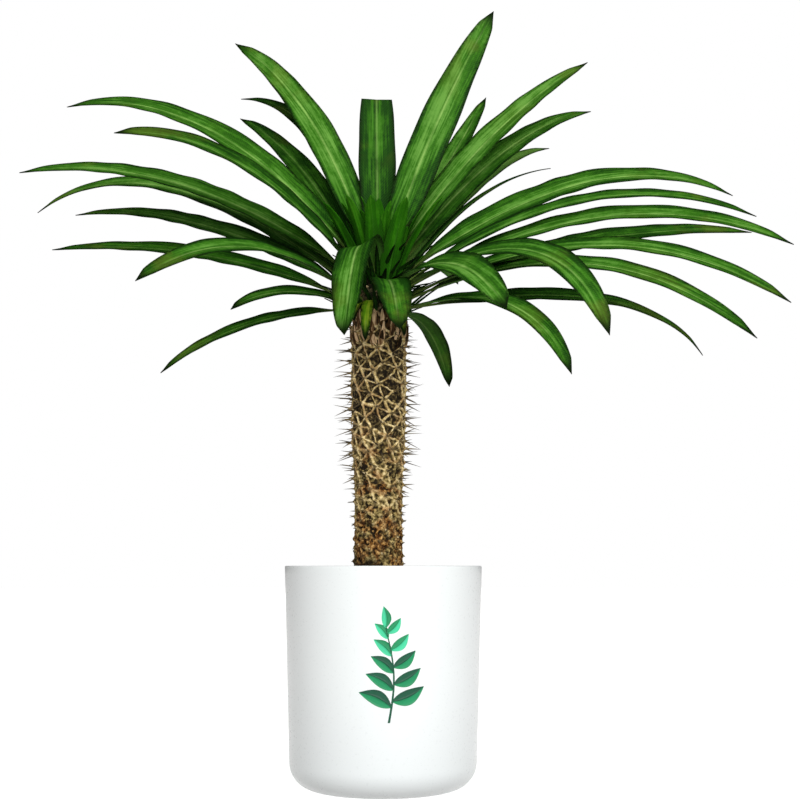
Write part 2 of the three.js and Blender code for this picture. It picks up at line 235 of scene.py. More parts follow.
def lathe(profile, columns):
    """The points of a profile turned round the axis, and the radius and height of each."""
    r, z = np.repeat(np.asarray(profile, float), columns, axis=0).T
    turn = np.tile(even_turns(columns), len(profile))
    return np.stack([r * np.cos(turn), r * np.sin(turn), z], 1), r, z


def facing_out(points, faces):
    """The faces of a closed mesh, turned so that they face out."""
    tris = np.array([(f[0], f[i], f[i + 1]) for f in faces for i in range(1, len(f) - 1)])
    a, b, c = (points[tris[:, i]] for i in range(3))
    if np.einsum("ij,ij->", a, np.cross(b, c)) < 0:
        return [f[::-1] for f in faces]
    return faces


class Parts:
    """Closed meshes gathered into one, with a number for each point under each attribute's name."""

    def __init__(self):
        self.points, self.faces, self.values, self.count = [], [], {}, 0

    def add(self, points, faces, **values):
        points = np.asarray(points, float)
        first = self.count
        self.faces += [[i + first for i in f] for f in facing_out(points - points.mean(0), faces)]
        self.points.append(points)
        self.count += len(points)
        for name, value in values.items():
            self.values.setdefault(name, []).append(np.broadcast_to(value, len(points)))

    def piece(self, name, material, slot, replaces=()):
        values = {key: np.concatenate(value) for key, value in self.values.items()}
        return make_piece(name, np.concatenate(self.points), self.faces, material, slot, replaces, **values)


def make_piece(name, points, faces, material, slot, replaces=(), **values):
    mesh = bpy.data.meshes.new(name)
    mesh.from_pydata((np.asarray(points) * MM).tolist(), [], faces)
    for key, value in values.items():
        mesh.attributes.new(key, "FLOAT", "POINT").data.foreach_set("value", np.asarray(value, np.float32))
    mesh.shade_smooth()
    mesh.materials.append(material)
    piece = bpy.data.objects.new(name, mesh)
    bpy.context.scene.collection.objects.link(piece)
    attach(piece, "root")
    if replaces:
        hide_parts(*replaces)
    return piece


# ---- Materials ----


class Shader:
    """A material on one Principled node, whose other nodes are made one call at a time."""

    def __init__(self, name, roughness=0.5, specular=0.5, **sockets):
        self.material = bpy.data.materials.new(name)
        self.material.use_nodes = True
        self.tree = self.material.node_tree
        self.surface = self.tree.nodes["Principled BSDF"]
        self.surface.inputs["Roughness"].default_value = roughness
        self.surface.inputs["Specular IOR Level"].default_value = specular
        for socket, value in sockets.items():
            self.surface.inputs[socket.replace("_", " ")].default_value = value

    def node(self, kind, inputs=(), **settings):
        made = self.tree.nodes.new("ShaderNode" + kind)
        for key, value in settings.items():
            setattr(made, key, value)
        for key, value in dict(inputs).items():
            self.put(made.inputs[key], value)
        return made

    def put(self, socket, value):
        if isinstance(value, bpy.types.NodeSocket):
            self.tree.links.new(value, socket)
        else:
            socket.default_value = value

    def attribute(self, name):
        return self.node("Attribute", attribute_name=name).outputs["Fac"]

    def place(self):
        """The point in the part's frame, in metres."""
        return self.node("TexCoord").outputs["Object"]

    def coordinates(self):
        """The same point's X, Y and Z, under their letters."""
        return self.node("SeparateXYZ", {0: self.place()}).outputs

    def math(self, operation, a, b=0.0):
        return self.node("Math", {0: a, 1: b}, operation=operation).outputs[0]

    def times(self, a, b):
        return self.math("MULTIPLY", a, b)

    def plus(self, a, b):
        return self.math("ADD", a, b)

    def sum(self, *terms):
        """The sum of values, each after its weight."""
        total = self.times(terms[0][1], terms[0][0])
        for weight, value in terms[1:]:
            total = self.plus(total, self.times(value, weight))
        return total

    def remap(self, value, low, high, to_low=0.0, to_high=1.0):
        inputs = {"Value": value, "From Min": low, "From Max": high, "To Min": to_low, "To Max": to_high}
        return self.node("MapRange", inputs, interpolation_type="SMOOTHSTEP").outputs[0]

    def vector(self, x, y, z=0.0):
        return self.node("CombineXYZ", {0: x, 1: y, 2: z}).outputs[0]

    def noise(self, vector, scale, detail=3.0, roughness=0.55):
        inputs = {"Vector": vector, "Scale": scale, "Detail": detail, "Roughness": roughness}
        return self.node("TexNoise", inputs).outputs["Fac"]

    def ramp(self, value, *stops):
        """Colours at places along the value, from 0 to 1."""
        made = self.node("ValToRGB", {0: value})
        elements = made.color_ramp.elements
        for i, (place, colour) in enumerate(stops):
            element = elements[i] if i < 2 else elements.new(place)
            element.position, element.color = place, (*colour, 1)
        return made.outputs["Color"]

    def mix(self, share, a, b):
        """The colour a, with a share of the colour b."""
        made = self.node("Mix", {0: share}, data_type="RGBA")
        for socket, value in zip((i for i in made.inputs if i.type == "RGBA"), (a, b)):
            self.put(socket, value if isinstance(value, bpy.types.NodeSocket) else (*value, 1))
        return next(o for o in made.outputs if o.type == "RGBA")

    def bump(self, height, depth_mm, strength=1.0):
        inputs = {"Height": height, "Distance": depth_mm * MM, "Strength": strength}
        self.put(self.surface.inputs["Normal"], self.node("Bump", inputs).outputs[0])

    def finish(self, colour, roughness=None):
        self.put(self.surface.inputs["Base Color"], colour)
        if roughness is not None:
            self.put(self.surface.inputs["Roughness"], roughness)
        return self.material


LEAF_GREENS = ((0.007, 0.044, 0.003), (0.036, 0.150, 0.008), (0.136, 0.325, 0.052), (0.33, 0.55, 0.14))
# The heart's greens, which its old stalks' stubs wear too, are darker than a blade's as painted shade deep in
# the crown. Its leaves' tones rise towards their tips, where that painted shade lifts.
HEART_GREENS = ((0.002, 0.034, 0.001), (0.012, 0.108, 0.001), (0.050, 0.215, 0.008), (0.09, 0.25, 0.03))
YOUNG_GREENS = ((0.05, 0.18, 0.004), (0.16, 0.43, 0.010), (0.45, 0.66, 0.04), (0.48, 0.66, 0.12))
NEARLY_BLACK = (0.004, 0.010, 0.002)
OLIVE = (0.13, 0.15, 0.018)
STREAK_STRETCH = 0.045  # a streak's width, as a share of its length
BAND_STRETCH = 0.006  # and a broad band's
VEIN_PITCH = 3.1  # between two side veins, in millimetres
SHADED_BASE = 15, 165  # painted shade at a blade's base fades out between these distances from its seat, in millimetres


def leaf_material(name, greens, stalk, rib=0.7, sunned=0.0):
    """Mottled green with streaks and bands along the blade, side veins and a pale rib.

    The base, the margins and the tip are dark, and a sunned leaf has olive patches on its outer half."""
    dark, middle, bright, pale = greens
    s = Shader(name, specular=0.03)
    across, length, seed = s.attribute("across"), s.attribute("length"), s.attribute("seed")
    streaks = s.noise(s.vector(across, s.times(length, STREAK_STRETCH), seed), 0.55, 3.0, 0.6)
    bands = s.noise(s.vector(across, s.times(length, BAND_STRETCH), s.plus(seed, 0.5)), 0.15, 1.0)
    speckle = s.noise(s.place(), 300.0, 2.0)
    blotches = s.noise(s.place(), 48.0, 3.0)
    mottle = s.sum((0.42, streaks), (0.28, bands), (0.1, speckle), (0.2, blotches))
    shade = s.sum((1.0, s.remap(mottle, 0.37, 0.63, -0.22, 0.22)), (0.5, s.attribute("tone")))
    # Painted shade and light: a blade darkens towards its margins and gets a little painted light in its
    # middle. It darkens at its base, where the crown shades it, and on the lower half of a folded blade. It
    # also darkens towards its outer end.
    for change in (
        s.remap(s.attribute("edge"), 0.25, 1.0, 0.08, -0.18),
        s.remap(length, *SHADED_BASE, -0.24, 0.0),
        s.times(s.attribute("low"), -0.22),
        s.remap(s.attribute("share"), 0.6, 1.0, 0.0, -0.12),
    ):
        shade = s.plus(shade, change)
    colour = s.ramp(shade, (0.22, dark), (0.48, middle), (0.78, bright))

    wave = s.plus(s.attribute("vein"), s.times(blotches, 1.5))
    veins = s.remap(s.math("SINE", s.times(wave, 2 * math.pi / VEIN_PITCH)), 0.55, 1.0)
    colour = s.mix(s.times(veins, 0.1), colour, bright)
    patches = s.remap(s.noise(s.place(), 22.0), 0.5, 0.62, 0.0, sunned)
    outer_patches = s.times(s.remap(s.attribute("share"), 0.5, 0.9), patches)
    colour = s.mix(outer_patches, colour, OLIVE)
    underside = s.mix(s.remap(s.attribute("tone"), 0.1, 0.6, 0.0, 0.2), colour, bright)
    colour = s.mix(s.remap(s.attribute("top"), 0.35, 0.65), underside, colour)
    clear = s.remap(s.attribute("tone"), 0.7, 1.05, 0.45, 1.0)  # a dark leaf's rib is faint
    rib_share = s.times(s.remap(blotches, 0.36, 0.6, 0.4 * rib, rib), clear)
    colour = s.mix(s.times(s.attribute("rib"), rib_share), colour, pale)
    margin = s.times(s.attribute("margin"), s.remap(speckle, 0.35, 0.6, 0.95, 0.55))
    colour = s.mix(margin, colour, NEARLY_BLACK)
    colour = s.mix(s.attribute("stalk"), colour, stalk)
    colour = s.mix(s.attribute("tip"), colour, NEARLY_BLACK)
    s.bump(s.sum((0.3, veins), (1.0, streaks)), 0.1, 0.7)
    matt_below = s.remap(s.attribute("top"), 0.35, 0.65, 0.4, 0.0)
    return s.finish(colour, s.plus(s.remap(streaks, 0.3, 0.7, 0.5, 0.6), matt_below))


# Bark's colours, from the darkest grain to the lightest. The cells' near-black browns are partly the skin's
# own dark and partly painted shade in the cells' hollows.
CELL_BROWNS = (0.009, 0.006, 0.003), (0.070, 0.046, 0.016), (0.34, 0.25, 0.10)
RIDGE_TANS = (0.25, 0.16, 0.05), (0.62, 0.45, 0.18), (0.95, 0.76, 0.42)
CORK_OLIVES = (0.016, 0.010, 0.003), (0.14, 0.100, 0.030), (0.46, 0.34, 0.13)
RUSTY_BROWNS = (0.03, 0.009, 0.002), (0.19, 0.075, 0.013), (0.58, 0.34, 0.11)
# Heights between which its colour changes, in metres.
SHADOWED_FOOT = 0.214, 0.228
RIDGES_BEGIN = 0.235, 0.3
SHADED_SHOULDER = 0.458, 0.474


def bark_material():
    """Dark cells inside a net of tan ridges.

    The old bark near the soil is corky, olive and rusty, with dark pits."""
    s = Shader("stem_bark", specular=0.15)
    ridge, age, pit = s.attribute("ridge"), s.attribute("age"), s.attribute("pit")
    place = s.coordinates()
    height = place["Z"]
    fine = s.noise(s.place(), 290.0, 3.0, 0.6)
    broad = s.noise(s.place(), 75.0)
    cell = s.ramp(fine, *zip((0.46, 0.57, 0.68), CELL_BROWNS))
    tan = s.ramp(fine, *zip((0.36, 0.48, 0.6), RIDGE_TANS))
    tan = s.mix(s.remap(broad, 0.48, 0.62, 0.0, 0.6), tan, (0.34, 0.17, 0.07))
    cork = s.ramp(fine, *zip((0.38, 0.5, 0.64), CORK_OLIVES))
    rusty = s.ramp(fine, *zip((0.4, 0.51, 0.64), RUSTY_BROWNS))
    low = s.remap(height, *RIDGES_BEGIN, 0.12, 0.0)
    old = s.mix(s.remap(s.plus(broad, low), 0.5, 0.64), cork, rusty)
    # The pits' near-black is partly painted shade in these hollows.
    old = s.mix(pit, old, (0.012, 0.007, 0.003))
    old = s.mix(s.times(ridge, s.remap(height, *RIDGES_BEGIN, 0.15, 0.9)), old, tan)
    young = s.mix(s.remap(ridge, 0.25, 0.75), cell, tan)
    colour = s.mix(s.remap(age, 0.2, 0.8), young, old)
    colour = s.mix(s.times(s.attribute("areole"), 0.75), colour, (0.035, 0.020, 0.009))
    # Painted shade: above the shoulder, under the crown, the bark goes nearly black.
    colour = s.mix(s.remap(height, *SHADED_SHOULDER, 0.0, 0.85), colour, (0.008, 0.012, 0.004))
    # Painted shadow: on its left, just above the soil, the stem's foot goes nearly black.
    left_side = s.remap(place["X"], -0.012, 0.006, 1.0, 0.0)
    foot_shadow = s.times(s.remap(height, *SHADOWED_FOOT, 0.85, 0.0), left_side)
    colour = s.mix(foot_shadow, colour, (0.012, 0.008, 0.004))
    s.bump(fine, 0.8)
    return s.finish(colour, s.remap(fine, 0.3, 0.7, 0.95, 0.75))


def spine_material():
    """Dark brown at tone 0, which the long spines have, and cream at tone 1. The points are grey-brown."""
    s = Shader("spine", roughness=0.55, specular=0.2)
    grain = s.noise(s.place(), 500.0)
    stops = (0.0, (0.030, 0.022, 0.012)), (0.5, (0.34, 0.25, 0.11)), (1.0, (0.78, 0.62, 0.36))
    wood = s.ramp(s.attribute("tone"), *stops)
    aged = s.mix(s.remap(grain, 0.4, 0.65, 0.0, 0.5), wood, (0.15, 0.10, 0.05))
    s.bump(grain, 0.2)
    return s.finish(s.mix(s.remap(s.attribute("share"), 0.4, 0.85), aged, (0.09, 0.07, 0.045)))


def bract_material():
    """Dry and papery, from nearly black to a pinkish cream."""
    s = Shader("dry_bract", roughness=0.8, specular=0.05)
    along = s.times(s.attribute("length"), 0.15)
    fibres = s.noise(s.vector(s.attribute("across"), along, s.attribute("seed")), 0.7, 3.0, 0.6)
    shade = s.sum((0.6, fibres), (0.4, s.attribute("tone")))
    s.bump(fibres, 0.2)
    stops = (0.36, (0.012, 0.007, 0.003)), (0.48, (0.17, 0.085, 0.032)), (0.62, (0.80, 0.55, 0.32))
    return s.finish(s.ramp(shade, *stops))


def pot_material():
    """A white satin glaze, slightly uneven, that is greyer towards the foot."""
    s = Shader("pot_glaze", roughness=0.3, specular=0.45)
    drift = s.noise(s.place(), 5.0, 2.0)
    colour = s.mix(s.remap(drift, 0.35, 0.65), (0.87, 0.895, 0.905), (0.885, 0.905, 0.92))
    # Painted shade: the glaze greys towards the foot, where less light reaches.
    foot_shade = s.remap(s.coordinates()["Z"], 0.0, 0.13, 0.6, 0.0)
    colour = s.mix(foot_shade, colour, (0.74, 0.77, 0.785))
    specks = s.noise(s.place(), 420.0, 2.0)
    s.bump(s.plus(s.times(specks, 0.05), drift), 0.5, 0.5)
    return s.finish(colour, s.remap(specks, 0.3, 0.7, 0.27, 0.36))


def soil_material():
    s = Shader("potting_mix", specular=0.15)
    fine = s.noise(s.place(), 500.0, 5.0, 0.7)
    stops = (0.3, (0.010, 0.007, 0.005)), (0.55, (0.045, 0.028, 0.016)), (0.75, (0.13, 0.085, 0.05))
    s.bump(fine, 0.8)
    return s.finish(s.ramp(fine, *stops), s.remap(fine, 0.3, 0.7, 1.0, 0.75))


def plain_material(name, colour, spread, scale, roughness):
    """A colour that drifts by its spread in soft patches, with a faint relief of the same patches."""
    s = Shader(name, roughness=roughness, specular=0.3)
    patches = s.noise(s.place(), scale, 4.0, 0.6)
    low = tuple(c * (1 - spread) for c in colour)
    high = tuple(min(1.0, c * (1 + spread)) for c in colour)
    s.bump(patches, 0.15)
    return s.finish(s.ramp(patches, (0.3, low), (0.7, high)))


# ---- Leaves ----

# Places across half a blade, from the rib to the margin. They lie closest at the two.
HALF_ACROSS = np.array([0, 0.045, 0.1, 0.2, 0.38, 0.58, 0.77, 0.9, 0.96, 1.0])
TIP_CROWDING = 1.4  # above 1, a blade's stations lie closer together at its tip, which is round
OUTLINE_WANDER = 0.018  # how far a margin wanders in and out, as a share of the half width
SAG = 0.00072  # how far a blade wavers up and down, as a share of its length
WAVE_HEIGHT = 0.03  # of the waves along a margin, as a share of the half width
WAVE_LENGTHS = 38, 60
GROOVE_DEPTH, GROOVE_WIDTH = 0.28, 1.5  # above the rib
KEEL_WIDTH = 1.9  # below it
VEIN_SLANT = 1.1  # how far a side vein's place shifts along the blade for each millimetre outwards
BLACK_TIP = 24, 2  # the black begins and is full at these distances from the tip


def leaf_path(row, shares, depth):
    """The middle line at shares of its length, the ways along it, across it and up from it, and its length.

    It starts at a depth inside the stem."""
    heading, seat, knee_reach, knee_height, tip_reach, tip_height = row[:6]
    out = np.array([math.cos(math.radians(heading)), math.sin(math.radians(heading)), 0])
    corners = [
        np.array([STEM_X, 0, height]) + reach * out
        for reach, height in (
            (max(stem_radius(seat) - depth, 0), seat),
            (knee_reach, knee_height),
            (tip_reach, tip_height),
        )
    ]
    t = np.linspace(0, 1, 401)[:, None]
    a, b, c = corners
    line = (1 - t) ** 2 * a + 2 * t * (1 - t) * b + t**2 * c
    steps = np.linalg.norm(np.diff(line, axis=0), axis=1)
    walked = np.concatenate([[0], np.cumsum(steps)])
    t = np.interp(np.asarray(shares) * walked[-1], walked, t[:, 0])[:, None]
    middle = (1 - t) ** 2 * a + 2 * t * (1 - t) * b + t**2 * c
    along = 2 * (1 - t) * (b - a) + 2 * t * (c - b)
    along /= np.linalg.norm(along, axis=1)[:, None]
    flat = np.broadcast_to([-out[1], out[0], 0], along.shape)
    lifted = np.cross(along, flat)
    roll = math.radians(row[7]) * smoothstep(shares, 0, ROLLED_BY)[:, None]
    across = flat * np.cos(roll) + lifted * np.sin(roll)
    return middle, along, across, np.cross(along, across), walked[-1]


def half_width(shares, width, petiole):
    blade = np.clip((shares - petiole) / (1 - petiole), 0, 1)
    stalk = min(PETIOLE_WIDTH, width) / 2 * (1 - blade) ** 2
    full = np.clip(np.sin(math.pi * blade**BLADE_SKEW), 0, None) ** BLADE_FULLNESS
    return stalk + width / 2 * np.minimum(full, TIP_SLOPE * (1 - blade))


def add_leaf(parts, row, seed, cut=False, stations=76, depth=SEAT_DEPTH, dark_edge=1.0, tip_tone=0.0):
    """Adds one leaf: a round stalk that becomes a folded blade with wavy margins.

    A groove runs above its rib and a keel below it. A cut leaf ends straight across."""
    shares = np.linspace(0, 1, stations)
    if not cut:
        shares = 1 - (1 - shares) ** TIP_CROWDING
    middle, along, across, up, length = leaf_path(row, shares, depth)
    on_blade = shares * CUT_SHARE if cut else shares
    width = row[6]
    petiole = np.interp(row[1], (LOW_SEAT, HIGH_SEAT), (LOW_PETIOLE, HIGH_PETIOLE))
    half = half_width(on_blade, width, petiole)
    rng = np.random.default_rng(seed)
    wander = sum(
        rng.uniform(0.3, 1) * np.sin(2 * math.pi * (k * shares * rng.uniform(0.8, 1.2) + rng.uniform()))
        for k in (1, 2, 3.3)
    )
    broad = smoothstep(half, PETIOLE_WIDTH, width / 2)
    half = half * (1 + OUTLINE_WANDER * wander * broad)
    rib = lerp(RIB_THICKNESS, EDGE_THICKNESS, np.sqrt(shares))
    fold = LEAF_FOLD * np.minimum(1, half / PETIOLE_WIDTH) * (0.4 if cut else 1)
    stalk = 1 - smoothstep(on_blade, petiole * 0.6, petiole + 0.1)

    u = np.concatenate([-HALF_ACROSS[:0:-1], HALF_ACROSS])
    size = np.abs(u)
    thick = EDGE_THICKNESS * lerp(1, 0.45, smoothstep(size, 0.75, 1))
    waves = []
    for side in (-1, 1):
        phase, wave_length = rng.uniform(0, 6.3), rng.uniform(*WAVE_LENGTHS)
        waves.append(np.sin(2 * math.pi * shares * length / wave_length + phase + 0.8 * wander))
    wave = np.where(u[None] < 0, waves[0][:, None], waves[1][:, None])
    wave = WAVE_HEIGHT * half[:, None] * broad[:, None] * wave * size[None] ** 2
    out = half[:, None] * u[None] * np.cos(fold)[:, None]
    lift = half[:, None] * (np.sqrt(size**2 + 0.004) - 0.063) * np.sin(fold)[:, None] + wave
    near_rib = np.exp(-((out / GROOVE_WIDTH) ** 2))
    groove = GROOVE_DEPTH * near_rib * broad[:, None]
    top = lift + thick / 2 - groove
    keel = (rib[:, None] - EDGE_THICKNESS) * np.exp(-((out / KEEL_WIDTH) ** 2))
    bottom = lift - thick / 2 - groove - keel
    round_top = 0.38 * rib[:, None] * np.sqrt(np.clip(1 - u**2, 0, None))
    top = lerp(top, round_top, stalk[:, None])
    bottom = lerp(bottom, -1.6 * round_top, stalk[:, None])

    ring_out = np.concatenate([out, out[:, -2:0:-1]], 1)
    ring_up = np.concatenate([top, bottom[:, -2:0:-1]], 1)
    ring_u = np.concatenate([u, u[-2:0:-1]])
    is_top = np.concatenate([np.where(size > 0.999, 0.5, 1.0), np.zeros(len(u) - 2)])
    sag = SAG * length * wander * smoothstep(shares, 0.15, 0.6) * (1 - smoothstep(shares, 0.8, 1))
    centre = middle + up * sag[:, None]
    points = centre[:, None] + across[:, None] * ring_out[..., None] + up[:, None] * ring_up[..., None]
    columns = points.shape[1]
    faces = grid_faces(stations, columns)
    points = points.reshape(-1, 3)
    last = (stations - 1) * columns
    faces += fan(len(points), list(range(columns)))
    faces += fan(len(points) + 1, list(range(last, last + columns))[::-1])
    points = np.concatenate([points, [centre[0]], [centre[-1]]])

    def spread(value):
        """A number for each point, from one for each station or each point of the grid."""
        value = np.broadcast_to(value, (stations, columns)).reshape(-1)
        return np.concatenate([value, value[:1], value[-1:]])

    station = shares[:, None] * length
    drop = -(across[:, None, 2] * ring_out + up[:, None, 2] * ring_up) / half[:, None]
    black_tip = smoothstep(station, *(length - np.array(BLACK_TIP)))
    parts.add(
        points,
        faces,
        across=spread(ring_out),
        length=spread(station),
        share=spread(shares[:, None]),
        low=spread(smoothstep(drop, 0.12, 0.6) * broad[:, None]),
        edge=spread(np.abs(ring_u)[None] * broad[:, None]),
        vein=spread(station - VEIN_SLANT * np.abs(ring_out)),
        rib=spread(np.exp(-((ring_out / (0.45 + 0.03 * half[:, None])) ** 2)) * broad[:, None]),
        margin=spread(dark_edge * smoothstep((np.abs(ring_u)[None] - 1) * half[:, None], -4, -0.9)),
        top=spread(is_top[None]),
        stalk=spread(stalk[:, None]),
        tip=spread(0.0 if cut else dark_edge * black_tip),
        tone=spread(row[8] + tip_tone * smoothstep(shares, 0.3, 1)[:, None]),
        seed=float(seed),
    )


def build_leaves():
    green = leaf_material("leaf", LEAF_GREENS, (0.10, 0.16, 0.03), sunned=0.3)
    for i, row in enumerate(LEAVES):
        parts = Parts()
        add_leaf(parts, row, seed=i + 1, cut=i == CUT_LEAF)
        node = f"leaf_{i + 1:02d}"
        parts.piece(node + "_blade", green, "leaf", (node,))
    fresh = leaf_material("young_leaf", YOUNG_GREENS, (0.3, 0.34, 0.08))
    for i, row in enumerate(YOUNG_LEAVES):
        parts = Parts()
        add_leaf(parts, row, seed=60 + i, stations=40)
        node = f"young_leaf_{i + 1}"
        parts.piece(node + "_blade", fresh, "young_leaf", (node,))


HEART_LEAVES = 34
HEART_LOW, HEART_HIGH = 482, 531
HEART_DEPTH = 7
OLD_STALKS = 76
STALK_LOW, STALK_HIGH = 463, 512


def build_heart():
    """The short inner leaves that stand close together on the dome, and old stalks' stubs below them."""
    green = leaf_material("heart_leaf", HEART_GREENS, (0.012, 0.045, 0.004), rib=0.2)
    parts = Parts()
    for k in range(HEART_LEAVES):
        share = k / (HEART_LEAVES - 1)
        seat = lerp(HEART_LOW, HEART_HIGH, share)
        length = lerp(110, 62, share) * lerp(0.55, 1.2, scatter(11 * k))
        lean = lerp(0.6, 0.15, share)
        reach = stem_radius(seat)
        row = (
            math.degrees(k * GOLDEN_ANGLE) + 20,
            seat,
            reach + 0.25 * length * lean,
            seat + 0.55 * length,
            reach + 0.75 * length * lean,
            seat + 0.85 * length,
            lerp(20, 13, share),
            0,
            lerp(0.85, 1.05, share),
        )
        add_leaf(parts, row, seed=100 + k, stations=26, depth=HEART_DEPTH, dark_edge=0.12, tip_tone=0.62)
    parts.piece("crown_heart", green, "leaf")

    parts = Parts()
    for k in range(OLD_STALKS):
        seat = lerp(STALK_LOW, STALK_HIGH, k / (OLD_STALKS - 1))
        length = lerp(22, 46, scatter(4 * k + 1))
        slope = lerp(0.3, 0.95, scatter(6 * k + 2))
        reach = stem_radius(seat)
        row = (
            math.degrees(k * GOLDEN_ANGLE) + 75,
            seat,
            reach + 0.5 * length,
            seat + slope * length * 0.65,
            reach + length,
            seat + slope * length,
            lerp(2.5, 4.2, scatter(8 * k)),
            0,
            lerp(0.3, 1.1, scatter(15 * k)),
        )
        add_leaf(parts, row, seed=400 + k, stations=16)
    parts.piece("old_stalks", green, "leaf")


# ---- Stem ----


DOME_TUBERCLES = 44  # small ones between the leaves' seats
AREOLE_STRAY = 2.6  # an areole lies within half of this of its place in the spiral


def areole_places():
    """Each areole's turn round the stem and its height."""
    k = np.arange(TUBERCLE_COUNT + DOME_TUBERCLES)
    z = TUBERCLE_LOW + k * TUBERCLE_PITCH + AREOLE_STRAY * (scatter(19 * k) - 0.5)
    return k * GOLDEN_ANGLE + AREOLE_STRAY * (scatter(17 * k) - 0.5) / stem_radius(z), z


def turned_back(turn):
    """The same turn, between minus and plus half a circle."""
    return turn - 2 * math.pi * np.round(turn / (2 * math.pi))


BARK_COLUMNS = 250
BARK_STEP = 0.85  # from one row of points to the next, up the bark
BARK_REACH = 12  # how far away a ridge is still looked for
RIDGED_SIDES = 0.8  # the share of the lattice's sides that have a ridge
STRAY = 1.1  # how far a ridge strays from its straight line
SMOOTH_BELOW = 186  # the stem has no relief below this height
# Heights between which the bark's relief fades in and out, and its look goes from old to young.
RELIEF_BEGINS, RELIEF_ENDS = (196, 206), (490, 505)
BARK_GETS_YOUNG = 255, 415


def bark_rows():
    """The stem's profile from its foot up, as heights and radii."""
    foot = [(STEM_FOOT, 0.1), (STEM_FOOT, 0.6), (STEM_FOOT + 12, 1), (185, 1)]
    buried = [(z, STEM_FOOT_RADIUS * share) for z, share in foot]
    bark = [(z, stem_radius(z)) for z in np.arange(192, DOME_FOOT, BARK_STEP)]
    dome = [(z, max(stem_radius(z), 0.2)) for z in np.linspace(DOME_FOOT, STEM_TOP, 42)]
    return np.array(buried + bark + dome)


def lattice_distances(rows, turns, stray_turn, stray_z):
    """How far each point of the bark lies from the nearest areole, and from the nearest side of the lattice.

    Some sides have no ridge, and a side counts as further away the thinner its ridge is."""
    areole_turn, areole_z = areole_places()
    sides = [(k, k + step) for step in NEIGHBOURS if step > 0 for k in range(len(areole_z) - step)]
    sides = [(a, b) for a, b in sides if scatter(29 * a + 3 * b) < RIDGED_SIDES]
    first, last = np.array(sides).T
    thin = lerp(0.75, 2.2, scatter(23 * first + 7 * last) ** 2)
    to_areole, to_side = (np.full((len(rows), len(turns)), 99.0) for _ in range(2))
    for row, (z, r) in enumerate(rows):
        near = (areole_z[first] < z + BARK_REACH) & (areole_z[last] > z - BARK_REACH)
        if not near.any():
            continue
        a, b = first[near], last[near]
        out = turned_back(turns[:, None] - areole_turn[a]) * r + stray_turn[row][:, None]
        rise = z + stray_z[row][:, None] - areole_z[a]
        side, up = turned_back(areole_turn[b] - areole_turn[a]) * r, areole_z[b] - areole_z[a]
        t = np.clip((out * side + rise * up) / (side**2 + up**2), 0, 1)
        to_side[row] = (np.hypot(out - t * side, rise - t * up) * thin[near]).min(1)
        to_areole[row] = np.hypot(out, rise).min(1)
    return to_areole.ravel(), to_side.ravel()


def build_bark():
    rows = bark_rows()
    place, r, z = lathe(rows[:, ::-1], BARK_COLUMNS)
    rough, fine = field(place, 5.5), field(place, 2.1, seed=40)
    strays = [STRAY * field(place, 5, seed).reshape(len(rows), -1) for seed in (80, 120)]
    to_areole, to_side = lattice_distances(rows, even_turns(BARK_COLUMNS), *strays)

    # The young net has thin ridges round deep cells. On old bark the cells fill up until small pits are left.
    on_bark = smoothstep(z, *RELIEF_BEGINS) * (1 - smoothstep(z, *RELIEF_ENDS))
    age = 1 - smoothstep(z + 22 * rough, *BARK_GETS_YOUNG)
    ridge = np.exp(-((to_side / 1.35) ** 2))
    areole = np.exp(-((to_areole / 2.0) ** 2))
    pit = smoothstep(0.08 * (to_side - 1.5) - 1.1 * field(place, 2.7, seed=160), 0.2, 0.46)
    kept_ridge = 0.85 * ridge * smoothstep(z, 235, 290)
    pit *= 1 - kept_ridge
    lattice = lerp(lerp(-2.4, 0.5, ridge), lerp(0.1, -1.6, pit) + 0.7 * kept_ridge, age) + 1.9 * areole
    grain = lerp(0.3, 0.8, age) * fine + 0.4 * rough
    softer = lerp(1, 0.5, smoothstep(z, DOME_FOOT, DOME_FOOT + 20))
    offset = np.where(z < SMOOTH_BELOW, 0, on_bark * lattice * softer + on_bark * grain)
    place[:, :2] *= ((r + offset) / r)[:, None]
    place[:, 0] += STEM_X
    place = np.concatenate([place, [[STEM_X, 0, STEM_FOOT]], [[STEM_X, 0, STEM_TOP]]])
    parts = Parts()
    ends = [0.0, 0.0]
    parts.add(
        place,
        capped_tube(len(rows), BARK_COLUMNS),
        ridge=np.concatenate([np.maximum(ridge, areole) * on_bark, ends]),
        age=np.concatenate([age, ends]),
        pit=np.concatenate([pit, ends]),
        areole=np.concatenate([smoothstep(areole, 0.45, 0.85) * on_bark, ends]),
    )
    parts.piece("stem_bark", bark_material(), "stem", ("stem",))


def rotate(v, axis, angle):
    """The vector turned about a unit axis."""
    c, s = math.cos(angle), math.sin(angle)
    return v * c + np.cross(axis, v) * s + axis * axis.dot(v) * (1 - c)


def skin_point(turn, z, lift):
    """A point at a lift off the stem's plain form."""
    r = stem_radius(z) + lift
    return np.array([STEM_X + r * math.cos(turn), r * math.sin(turn), z])


def spine_length(z):
    whole = SPINE_LENGTH * lerp(1, YOUNG_SHARE, smoothstep(z, YOUNG_ABOVE - 8, YOUNG_ABOVE + 8))
    return float(lerp(SPINE_STUB, whole, smoothstep(z, WORN_BELOW, WHOLE_ABOVE)))


SPINE_SIDES = 7
SPINE_RINGS = np.array([0, 0.05, 0.14, 0.3, 0.5, 0.72, 0.9])


